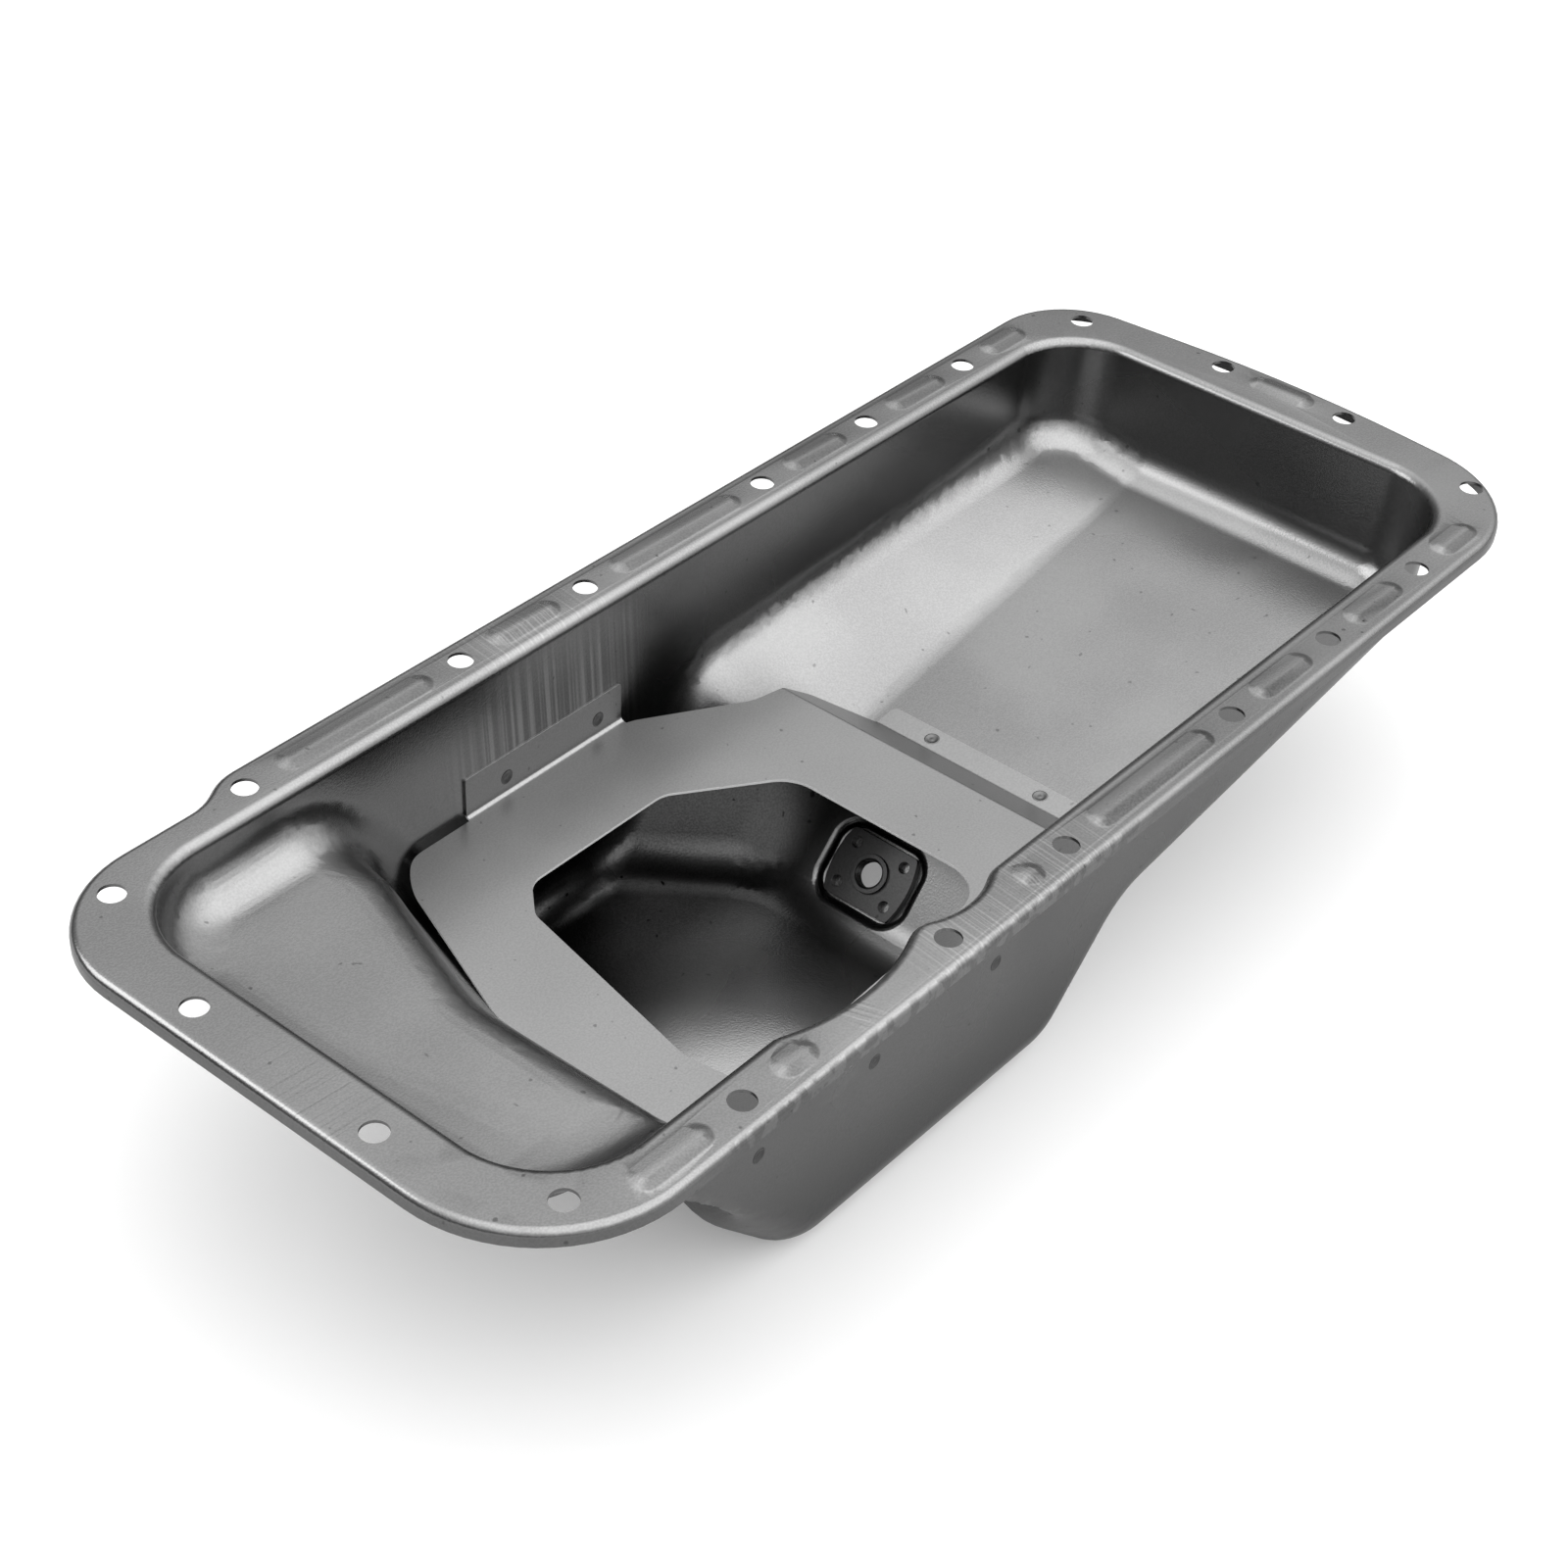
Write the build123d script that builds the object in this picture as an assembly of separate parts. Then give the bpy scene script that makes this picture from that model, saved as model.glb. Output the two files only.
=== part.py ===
from build123d import *
import math
import os

# Engine oil pan: a deep-drawn steel pan with a bolted flange, a sump near one end, a shallow
# trough over the rest of its length, a welded windage tray and a drain nut plate.
# X runs along the pan from the near end to the far end, Y across it, Z up.
# The origin is on the underside of the sump, under the middle of the flange.
# Stations are distances along X from the near end of the flange lip.
# Depths are distances below the gasket face. Left is +Y.

# Overall sizes and sheet
PAN_LENGTH = 582.0
PAN_WIDTH = 241.0
PAN_DEPTH = 124.0
SHEET = 1.2

# Flange: down-turned lip, corner radii, bent end and the step in its left edge
LIP_HEIGHT = 6.0
LIP_BEND = 1.8
FLANGE_RADIUS_NEAR_LEFT = 45.0
FLANGE_RADIUS_NEAR_RIGHT = 57.0
FLANGE_RADIUS_FAR_LEFT = 38.0
FLANGE_RADIUS_FAR_RIGHT = 52.0
END_BOW = 11.3
END_BOW_RADIUS = 600.0
STEP_DEPTH = 7.5
STEP_STATION = 79.5
STEP_LENGTH = 13.0
STEP_RADIUS = 23.0

# Trough walls at the gasket face, their lean and the bend into the flange
RAIL_WIDTH = 23.0
NEAR_RIM = 26.5
FAR_RIM = 29.0
SIDE_LEAN = 1.2
NEAR_LEAN = 5.0
FAR_LEAN = 6.8
TROUGH_RADIUS_NEAR = 37.0
TROUGH_RADIUS_FAR_LEFT = 30.0
TROUGH_RADIUS_FAR_RIGHT = 35.0
RIM_BEND = 3.0

# Floors of the trough: the near shelf, the sloping far floor and its raised left side
SHELF_DEPTH = 23.0
FAR_FLOOR_DEPTH = 48.8
FAR_FLOOR_SLOPE = 7.9
LEFT_FLOOR_DEPTH = 43.6
LEFT_FLOOR_SLOPE = 2.15
LEFT_FLOOR_START = 236.8
SHELF_BLOCK_END = 230.8
BLOCK_OVERRUN = 100.0
BLOCK_FOOT = -60.0
CREASE_FROM_WALL = 50.5
CREASE_RADIUS = 30.0
FLOOR_FILLET = 17.0

# Sump: where its sides meet its floor, and how they lean out towards the trough
MOUTH_DEPTH = 20.0
NEAR_SIDE_STATION = 161.8
NEAR_SIDE_SKEW = 8.3
NEAR_SIDE_REACH = 81.7
MOUTH_SKEW = 22.0
FAR_SIDE_STATION = 294.45
FAR_SIDE_SLOPE = 48.0
FACET_FROM_WALL = 46.6
FACET_TURN = 40.8
FACET_SLOPE = 57.6
NEAR_CORNER_FROM_WALL = 24.9
NEAR_CORNER_TURN = 37.9
NEAR_CORNER_SLOPE = 64.0
SUMP_FLOOR_RADIUS = 28.0
NEAR_ROLL_RADIUS = 30.0
FAR_ROLL_RADIUS = 25.0

# Upright corners of the sump, each between a side and the next
NEAR_RIGHT_RADIUS = 60.0
FAR_RIGHT_RADIUS = 30.0
FACET_RADIUS = 50.0
LEFT_RADIUS = 20.0
NEAR_CORNER_RADIUS = 32.0

# The sump runs out through the right wall, and the floors reach this far outside the walls
RUN_OUT = 72.0
FLOOR_OVERRUN = 14.5

# Bulges pressed into the right wall under the flange: station, width, swell and depth
BULGES = ((158.5, 66.0, 6.5, 44.0), (216.5, 37.0, 5.0, 36.0))
BULGE_BLEND = 12.0

# Bolt holes: stations along the rails, and places in from the ends and off the middle
BOLT_HOLE = 9.6
RAIL_HOLE_LINE = 11.0
RAIL_HOLE_START = 95.2
RAIL_HOLE_PITCHES = (101.6, 65.0, 101.6, 65.4, 65.0)
NEAR_CORNER_HOLE = (29.5, 98.6)
NEAR_END_HOLE = (12.0, 39.3)
FAR_CORNER_HOLE = (20.5, 95.7)
FAR_END_HOLE = (10.0, 29.8)

# Stiffening beads on the flange
BEAD_HEIGHT = 1.2
BEAD_WIDTH = 12.0
BEAD_CREST = 3.5
BEAD_GAP = 14.5
NEAR_BEAD = 35.0
LAST_BEAD = 28.0
SHORT_BEADS = (20.0, 13.0)
END_BEAD = 32.0
END_BEAD_INSET = 11.0

# Drain: nut plate in a shallow seat on the far side of the sump
DRAIN_RISE = 16.8
DRAIN_OFFSET = 3.0
PLATE_WIDTH = 35.6
PLATE_HEIGHT = 27.5
PLATE_END_BULGE = 2.6
PLATE_THICKNESS = 3.0
PLATE_CORNER_RADIUS = 2.0
COLLAR_DIAMETER = 15.6
COLLAR_HEIGHT = 1.4
DRAIN_HOLE = 12.0
PLATE_HOLE = 4.5
PLATE_HOLE_PLACE = (11.5, 8.5)
SEAT_DEPTH = 3.5
SEAT_MARGIN = 1.8
SEAT_RADIUS = 9.0
SEAT_LEAN = 20.0
SEAT_FLOOR_RADIUS = 1.5
SEAT_RIM_RADIUS = 3.0

# Windage tray: one folded sheet over the sump, welded to both walls and to the far floor
TRAY_DEPTH = 57.0
TRAY_SHEET = 1.0
TRAY_CLEARANCE = 1.6
TRAY_BEND = 2.0
TRAY_NEAR_STATION = 115.5
TRAY_NEAR_RADIUS = 34.0
TRAY_LEFT_RADIUS = 26.0
TRAY_WALL_RADIUS = 22.0
TRAY_SHOULDER_RADIUS = 20.0
TRAY_FOLD_STATION = 326.5
TRAY_FOOT_STATION = 354.5
TRAY_FOOT_LENGTH = 11.3
TRAY_LEFT_WALL_END = 267.5
TRAY_SHOULDER = (312.0, 67.0)
TRAY_ELBOW = (340.3, 61.3)
TRAY_FOOT_LEFT = 38.0
TRAY_FOOT_RIGHT = 77.0
TRAY_EDGE_RADIUS = 6.0
TRAY_FOOT_RADIUS = 3.0
TAB_HEIGHT = 17.0
LEFT_TAB = (184.5, 267.5)
RIGHT_TAB = (115.6, 255.5)
TAB_CORNER_RADIUS = 1.5

# Opening of the tray: stations and places off the middle of its corners, with their radii
OPENING = (
    (162.5, 40.0, 9.0),
    (174.5, 53.0, 10.0),
    (244.0, 53.0, 12.0),
    (285.5, 24.7, 16.0),
    (285.5, -66.0, 18.0),
    (149.0, -72.0, 10.0),
    (144.6, -46.0, 14.0),
)

# Spot welds: shallow dimples on the tray, and outside the right wall
WELD_DIAMETER = 6.0
WELD_DIMPLE = 0.35
WELD_DEPTH = 50.0
LEFT_WELDS = (205.5, 254.5)
RIGHT_WELDS = (120.5, 179.5, 246.5)
FOOT_WELDS = (14.9, -37.4)

# Values that follow from the sizes above
HALF_LENGTH = PAN_LENGTH / 2
HALF_WIDTH = PAN_WIDTH / 2
HALF_TROUGH = HALF_WIDTH - RAIL_WIDTH
GASKET_FACE = PAN_DEPTH
SUMP_FLOOR = SHEET
MOUTH_RISE = PAN_DEPTH - SHEET - MOUTH_DEPTH
FLOOR_HALF_WIDTH = HALF_TROUGH + FLOOR_OVERRUN
RAIL_HOLE_Y = HALF_WIDTH - RAIL_HOLE_LINE
TOUCH = 0.001


def tan(angle):
    return math.tan(math.radians(angle))


def cos(angle):
    return math.cos(math.radians(angle))


def sin(angle):
    return math.sin(math.radians(angle))


def along(station):
    """X of a station."""
    return station - HALF_LENGTH


def below(depth):
    """Z of a depth under the gasket face."""
    return GASKET_FACE - depth


def face_at(height, points, radii):
    """Flat face with rounded corners at a height."""
    edge = FilletPolyline(*points, radius=radii, close=True)
    return Pos(0, 0, height) * make_face(edge)


def four_corners(top, bottom):
    """Closed outline through the two ends of a top line and those of a bottom line."""
    return Polyline(top[0], top[1], bottom[1], bottom[0], close=True)


def touching(edges, shape):
    """The edges that lie on a shape along their whole length."""
    found = []
    for edge in edges:
        if shape.distance_to(edge @ 0.5) > TOUCH:
            continue
        if shape.distance_to(edge @ 0.3) > TOUCH:
            continue
        found.append(edge)
    return found


def level(edge, height):
    """True for an edge that lies flat at a height."""
    places = (edge @ 0, edge @ 0.5, edge @ 1)
    return all(abs(place.Z - height) < TOUCH for place in places)


def flange_outline():
    """Plan of the flange: bent far end, and a step in the left edge near the near end."""
    bend = math.atan(END_BOW / HALF_WIDTH)
    apex = HALF_LENGTH + END_BOW_RADIUS * (1 / math.cos(bend) - 1)
    corner = apex - END_BOW
    step_y = HALF_WIDTH - STEP_DEPTH
    points = [
        (-HALF_LENGTH, step_y),
        (along(STEP_STATION), step_y),
        (along(STEP_STATION + STEP_LENGTH), HALF_WIDTH),
        (corner, HALF_WIDTH),
        (apex, 0),
        (corner, -HALF_WIDTH),
        (-HALF_LENGTH, -HALF_WIDTH),
    ]
    radii = [
        FLANGE_RADIUS_NEAR_LEFT,
        STEP_RADIUS,
        STEP_RADIUS,
        FLANGE_RADIUS_FAR_LEFT,
        END_BOW_RADIUS,
        FLANGE_RADIUS_FAR_RIGHT,
        FLANGE_RADIUS_NEAR_RIGHT,
    ]
    return face_at(GASKET_FACE, points, radii)


def flange():
    """Flange plate with its lip turned down all round."""
    outline = flange_outline()
    block = extrude(outline, -LIP_HEIGHT)
    rim = [e for e in block.edges() if level(e, GASKET_FACE)]
    block = fillet(rim, LIP_BEND + SHEET)
    hollow = extrude(Pos(0, 0, -SHEET) * offset(outline, -SHEET), -LIP_HEIGHT)
    rim = [e for e in hollow.edges() if level(e, GASKET_FACE - SHEET)]
    return block - fillet(rim, LIP_BEND)


def trough_walls(grow):
    """Space between the four drafted walls, grown outwards by a thickness."""
    lengthwise = []
    crosswise = []
    for depth in (0, PAN_DEPTH + MOUTH_DEPTH):
        side = HALF_TROUGH - depth * tan(SIDE_LEAN) + grow / cos(SIDE_LEAN)
        near = -HALF_LENGTH + NEAR_RIM + depth * tan(NEAR_LEAN) - grow / cos(NEAR_LEAN)
        far = HALF_LENGTH - FAR_RIM - depth * tan(FAR_LEAN) + grow / cos(FAR_LEAN)
        lengthwise.append(((near, below(depth)), (far, below(depth))))
        crosswise.append(((-side, below(depth)), (side, below(depth))))
    long_section = Plane.XZ * make_face(four_corners(*lengthwise))
    cross_section = Plane.YZ * make_face(four_corners(*crosswise))
    space = extrude(long_section, PAN_WIDTH, both=True) & extrude(cross_section, PAN_LENGTH, both=True)
    corners = (
        (-1, -1, TROUGH_RADIUS_NEAR),
        (-1, 1, TROUGH_RADIUS_NEAR),
        (1, -1, TROUGH_RADIUS_FAR_RIGHT),
        (1, 1, TROUGH_RADIUS_FAR_LEFT),
    )
    for x_side, y_side, radius in corners:
        place = (x_side * HALF_LENGTH, y_side * HALF_WIDTH, 0)
        space = fillet(space.edges().sort_by_distance(place)[0], radius + grow)
    return space


def bulge(station, width, swell, depth, grow):
    """Round swelling of the right wall that fades out with depth: a cylinder tilted inwards."""
    radius = (width * width / 4 + swell * swell) / (2 * swell)
    lean = SIDE_LEAN + math.degrees(math.atan(swell / depth))
    middle = Vector(along(station), radius - HALF_TROUGH - swell, GASKET_FACE)
    axis = Plane(origin=middle, x_dir=(1, 0, 0), z_dir=(0, -sin(lean), cos(lean)))
    body = axis * Pos(0, 0, -depth) * Cylinder(radius + grow, 4 * depth)
    top = Plane.XY.offset(GASKET_FACE)
    floor = Plane.XY.offset(below(2 * depth))
    return split(split(body, top, keep=Keep.BOTTOM), floor, keep=Keep.TOP)


def trough(grow):
    """Trough space with the bulges blended into its right wall."""
    space = trough_walls(grow)
    for place in BULGES:
        swelling = bulge(*place, grow)
        joined = space + swelling
        seam = [e for e in touching(joined.edges(), space) if swelling.distance_to(e @ 0.5) < TOUCH]
        seam = [e for e in seam if not level(e, GASKET_FACE)]
        space = fillet(seam, BULGE_BLEND - grow)
    return space


def plan_line(turn, point):
    """Line in plan by the turn of its outward normal from +X and a point on it."""
    return turn, cos(turn) * point[0] + sin(turn) * point[1]


def moved(line, distance):
    """The line shifted along its normal."""
    return line[0], line[1] + distance


def crossing(first, second):
    """Point where two plan lines meet."""
    spread = sin(second[0] - first[0])
    x = (first[1] * sin(second[0]) - second[1] * sin(first[0])) / spread
    y = (second[1] * cos(first[0]) - first[1] * cos(second[0])) / spread
    return x, y


def sump_lines(rise):
    """Near, right, far, facet and near corner lines of the sump at a rise over its floor."""
    share = rise / MOUTH_RISE
    wall = HALF_TROUGH - (PAN_DEPTH - SHEET) * tan(SIDE_LEAN)
    foot = along(NEAR_SIDE_STATION)
    lean = tan(NEAR_SIDE_SKEW) + share * (tan(MOUTH_SKEW) - tan(NEAR_SIDE_SKEW))
    skew = math.degrees(math.atan(lean))
    near = plan_line(180 - skew, (foot - share * NEAR_SIDE_REACH, 0))
    right = plan_line(-90, (0, -HALF_TROUGH - RUN_OUT))
    far_foot = plan_line(0, (along(FAR_SIDE_STATION), 0))
    far = moved(far_foot, rise / tan(FAR_SIDE_SLOPE))
    facet_foot = plan_line(FACET_TURN, (far_foot[1], wall - FACET_FROM_WALL))
    facet = moved(facet_foot, rise / tan(FACET_SLOPE))
    corner_y = wall - NEAR_CORNER_FROM_WALL
    corner_foot = (foot + corner_y * tan(NEAR_SIDE_SKEW), corner_y)
    corner = plan_line(90 + NEAR_CORNER_TURN, corner_foot)
    corner = moved(corner, rise / tan(NEAR_CORNER_SLOPE))
    return near, right, far, facet, corner


def side_slopes():
    """Slopes of the sump sides, in the order of their lines."""
    near = math.degrees(math.atan(MOUTH_RISE / NEAR_SIDE_REACH))
    return near, 90.0, FAR_SIDE_SLOPE, FACET_SLOPE, NEAR_CORNER_SLOPE


def sump_ring(rise, grow):
    """Corners of the sump outline at its floor or its mouth, each between a side and the next."""
    lines = []
    for line, slope in zip(sump_lines(rise), side_slopes()):
        shift = grow / sin(slope) if rise else grow * tan(slope / 2)
        lines.append(moved(line, shift))
    height = SUMP_FLOOR + (rise if rise else -grow)
    return [(*crossing(*pair), height) for pair in zip(lines, lines[1:] + lines[:1])]


def sump(grow):
    """Sump space: four flat sides and a twisted near side, rounded where they meet."""
    low = sump_ring(0, grow)
    high = sump_ring(MOUTH_RISE, grow)
    faces = [make_face(Polyline(*low, close=True)), make_face(Polyline(*high, close=True))]
    for index in range(len(low) - 1):
        pair = slice(index, index + 2)
        faces.append(make_face(four_corners(low[pair], high[pair])))
    foot = Edge.make_line(low[-1], low[0])
    mouth = Edge.make_line(high[-1], high[0])
    faces.append(Face.make_surface_from_curves(foot, mouth))
    space = Solid(Shell(faces))
    radii = (NEAR_RIGHT_RADIUS, FAR_RIGHT_RADIUS, FACET_RADIUS, LEFT_RADIUS, NEAR_CORNER_RADIUS)
    for bottom, top, radius in zip(low, high, radii):
        middle = (Vector(bottom) + Vector(top)) / 2
        upright = space.edges().sort_by_distance(middle)[0]
        space = fillet(upright, radius + grow)
    floor_edge = [e for e in space.edges() if level(e, SUMP_FLOOR - grow)]
    return fillet(floor_edge, SUMP_FLOOR_RADIUS + grow)


def far_floor(x):
    """Height of the far floor at X."""
    return below(FAR_FLOOR_DEPTH) - (HALF_LENGTH - FAR_RIM - x) * tan(FAR_FLOOR_SLOPE)


def left_floor(x):
    """Height of the raised left side of the far floor at the wall, at X."""
    return below(LEFT_FLOOR_DEPTH) - (HALF_LENGTH - FAR_RIM - x) * tan(LEFT_FLOOR_SLOPE)


def raised_left_floor(grow):
    """Wedge that lifts the far floor from a crease up to the left wall."""
    crease = HALF_TROUGH - CREASE_FROM_WALL
    wall = HALF_TROUGH - SHELF_DEPTH * tan(SIDE_LEAN)
    sections = []
    for x in (HALF_LENGTH + FLOOR_OVERRUN, along(LEFT_FLOOR_START)):
        slope = (left_floor(x) - far_floor(x)) / (wall - crease)
        low = far_floor(x) - grow / cos(FAR_FLOOR_SLOPE)
        lost = grow * math.sqrt(1 + tan(FAR_FLOOR_SLOPE) ** 2 + slope ** 2)
        slope = (left_floor(x) - lost - low) / (wall - crease)
        high = low + slope * (FLOOR_HALF_WIDTH - crease)
        base = low - FLOOR_FILLET
        points = (
            (x, crease, low),
            (x, FLOOR_HALF_WIDTH, high),
            (x, FLOOR_HALF_WIDTH, base),
            (x, crease, base),
        )
        sections.append(make_face(Polyline(*points, close=True)))
    return loft(sections, ruled=True)


def under_floor(grow):
    """Block under the shelf and the far floor, with the sump taken out and its edges rolled."""
    shelf = below(SHELF_DEPTH) - grow
    drop = grow / cos(FAR_FLOOR_SLOPE)
    out = HALF_LENGTH + BLOCK_OVERRUN
    middle = along(SHELF_BLOCK_END)
    points = (
        (-out, shelf),
        (middle, shelf),
        (middle, far_floor(middle) - drop),
        (out, far_floor(out) - drop),
        (out, BLOCK_FOOT),
        (-out, BLOCK_FOOT),
    )
    section = Plane.XZ * make_face(Polyline(*points, close=True))
    space = sump(grow)
    block = extrude(section, FLOOR_HALF_WIDTH, both=True) + raised_left_floor(grow) - space
    near_roll = [e for e in touching(block.edges(), space) if level(e, shelf)]
    block = fillet(near_roll, NEAR_ROLL_RADIUS - grow)
    far = HALF_LENGTH / 2
    crease = (far, HALF_TROUGH - CREASE_FROM_WALL, far_floor(far) - drop)
    block = fillet(block.edges().sort_by_distance(crease)[0], CREASE_RADIUS + grow)
    far_roll = []
    for edge in touching(block.edges(), space):
        place = edge @ 0.5
        above = place.Z > far_floor(place.X) - drop - TOUCH
        if above and place.X > middle and abs(place.Y) < FLOOR_HALF_WIDTH - TOUCH:
            far_roll.append(edge)
    return fillet(far_roll, FAR_ROLL_RADIUS - grow)


def drain_plane():
    """Plane on the far side of the sump at the drain, its Z into the pan, its X along +Y."""
    x = along(FAR_SIDE_STATION) + DRAIN_RISE / tan(FAR_SIDE_SLOPE)
    centre = (x, DRAIN_OFFSET, SUMP_FLOOR + DRAIN_RISE)
    inward = (-sin(FAR_SIDE_SLOPE), 0, cos(FAR_SIDE_SLOPE))
    return Plane(origin=centre, x_dir=(0, 1, 0), z_dir=inward)


def drain_seat(space, grow):
    """The space with the shallow seat of the nut plate pressed out of the sump side."""
    plane = drain_plane()
    depth = SEAT_DEPTH + grow
    margin = 2 * SEAT_MARGIN + 2 * grow * tan(45 - SEAT_LEAN / 2)
    outline = RectangleRounded(PLATE_WIDTH + margin, PLATE_HEIGHT + margin, SEAT_RADIUS + grow)
    seat = extrude(outline, depth + SEAT_DEPTH, taper=-SEAT_LEAN)
    seat = fillet(seat.faces().sort_by(Axis.Z)[0].edges(), SEAT_FLOOR_RADIUS + grow)
    seat = plane * Pos(0, 0, -depth) * seat
    joined = space + seat
    rim = [e for e in touching(joined.edges(), space) if seat.distance_to(e @ 0.5) < TOUCH]
    return fillet(rim, SEAT_RIM_RADIUS - grow)


def pan_space(grow):
    """Whole space inside the pan, grown outwards by a thickness."""
    walls = trough(grow)
    floors = under_floor(grow)
    space = walls - floors
    sides = walls.faces().sort_by(Axis.Z)[1:-1]
    chain = []
    for edge in touching(space.edges(), floors):
        middle = edge @ 0.5
        if min(side.distance_to(middle) for side in sides) < TOUCH:
            chain.append(edge)
    space = fillet(chain, FLOOR_FILLET + grow)
    return drain_seat(space, grow)


def bolt_holes():
    """Centres of the twenty bolt holes."""
    places = []
    station = RAIL_HOLE_START
    for pitch in (0.0,) + RAIL_HOLE_PITCHES:
        station += pitch
        places.append((along(station), RAIL_HOLE_Y))
    places.append((-HALF_LENGTH + NEAR_CORNER_HOLE[0], NEAR_CORNER_HOLE[1]))
    places.append((-HALF_LENGTH + NEAR_END_HOLE[0], NEAR_END_HOLE[1]))
    places.append((HALF_LENGTH - FAR_CORNER_HOLE[0], FAR_CORNER_HOLE[1]))
    places.append((HALF_LENGTH - FAR_END_HOLE[0], FAR_END_HOLE[1]))
    return places + [(x, -y) for x, y in places]


def rail_beads():
    """Start, end and side of each bead along the rails."""
    holes = [RAIL_HOLE_START]
    for pitch in RAIL_HOLE_PITCHES:
        holes.append(holes[-1] + pitch)
    spans = []
    for start, end in zip(holes, holes[1:]):
        spans.append((start + BEAD_GAP, end - BEAD_GAP))
    last = (holes[-1] + BEAD_GAP, holes[-1] + BEAD_GAP + LAST_BEAD)
    left = spans + [last]
    near = (holes[0] - BEAD_GAP - NEAR_BEAD, holes[0] - BEAD_GAP)
    first_short = (spans[0][0], spans[0][0] + SHORT_BEADS[0])
    second_short = (spans[1][1] - SHORT_BEADS[1], spans[1][1])
    right = [near, first_short, second_short] + spans[2:] + [last]
    return [(a, b, 1) for a, b in left] + [(a, b, -1) for a, b in right]


def bead(length):
    """One bead along X, from its base outline up to its crest."""
    base = SlotOverall(length, BEAD_WIDTH)
    loss = BEAD_WIDTH - BEAD_CREST
    crest = SlotOverall(length - loss, BEAD_CREST)
    return loft([base, Pos(0, 0, BEAD_HEIGHT) * crest], ruled=True)


def bead_places():
    """Location and length of every bead on the gasket face."""
    places = []
    for start, end, side in rail_beads():
        middle = along((start + end) / 2)
        places.append((Pos(middle, side * RAIL_HOLE_Y, GASKET_FACE), end - start))
    across = Pos(HALF_LENGTH - END_BEAD_INSET, 0, GASKET_FACE) * Rot(0, 0, 90)
    places.append((across, END_BEAD))
    return places


def weld_dimple(plane):
    """Shallow cone that a spot weld leaves in a face, its plane on the face."""
    cone = Cone(WELD_DIAMETER / 4, WELD_DIAMETER / 2, 2 * WELD_DIMPLE)
    return plane * cone


def wall_plane(station, side, depth, outside):
    """Plane on a side wall, on its inner or outer face, its Z out of the metal."""
    y = HALF_TROUGH - depth * tan(SIDE_LEAN)
    face = y + SHEET / cos(SIDE_LEAN) if outside else y
    turn = 1 if outside else -1
    normal = (0, turn * side * cos(SIDE_LEAN), -turn * sin(SIDE_LEAN))
    return Plane(origin=(along(station), side * face, below(depth)), x_dir=(1, 0, 0), z_dir=normal)


def drilled_flange():
    """Flange with its stiffening beads and bolt holes."""
    plate = flange()
    for place, length in bead_places():
        raised = bead(length)
        plate = plate + place * raised - place * Pos(0, 0, -SHEET) * raised
    for x, y in bolt_holes():
        plate = plate - Pos(x, y, GASKET_FACE) * Cylinder(BOLT_HOLE / 2, 4 * LIP_HEIGHT)
    return plate


def oil_pan_shell():
    """The drawn pan: flange, walls, floors, sump, bulges, beads, holes and drain seat."""
    inner = pan_space(0)
    outer = pan_space(SHEET)
    shell = drilled_flange() + outer
    bend = touching([e for e in shell.edges() if level(e, GASKET_FACE - SHEET)], outer)
    shell = fillet(bend, RIM_BEND) - inner
    rim = touching([e for e in shell.edges() if level(e, GASKET_FACE)], inner)
    shell = fillet(rim, RIM_BEND + SHEET)
    shell = shell - drain_plane() * Cylinder(DRAIN_HOLE / 2, 8 * SEAT_DEPTH)
    for station in RIGHT_WELDS:
        shell = shell - weld_dimple(wall_plane(station, -1, WELD_DEPTH, True))
    return shell


def drain_nut_plate():
    """Nut plate with a threaded collar, on the floor of the drain seat."""
    half = PLATE_WIDTH / 2
    shoulder = half - PLATE_END_BULGE
    rise = PLATE_HEIGHT / 2
    outline = (
        Line((-shoulder, -rise), (shoulder, -rise))
        + ThreePointArc((shoulder, -rise), (half, 0), (shoulder, rise))
        + Line((shoulder, rise), (-shoulder, rise))
        + ThreePointArc((-shoulder, rise), (-half, 0), (-shoulder, -rise))
    )
    plate = extrude(make_face(outline), PLATE_THICKNESS)
    plate = fillet(plate.edges().filter_by(Axis.Z), PLATE_CORNER_RADIUS)
    collar_top = PLATE_THICKNESS + COLLAR_HEIGHT
    plate = plate + Pos(0, 0, collar_top / 2) * Cylinder(COLLAR_DIAMETER / 2, collar_top)
    plate = plate - Cylinder(DRAIN_HOLE / 2, 4 * collar_top)
    for x in (-PLATE_HOLE_PLACE[0], PLATE_HOLE_PLACE[0]):
        for y in (-PLATE_HOLE_PLACE[1], PLATE_HOLE_PLACE[1]):
            plate = plate - Pos(x, y, 0) * Cylinder(PLATE_HOLE / 2, 4 * PLATE_THICKNESS)
    return drain_plane() * Pos(0, 0, -SEAT_DEPTH) * plate


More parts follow.
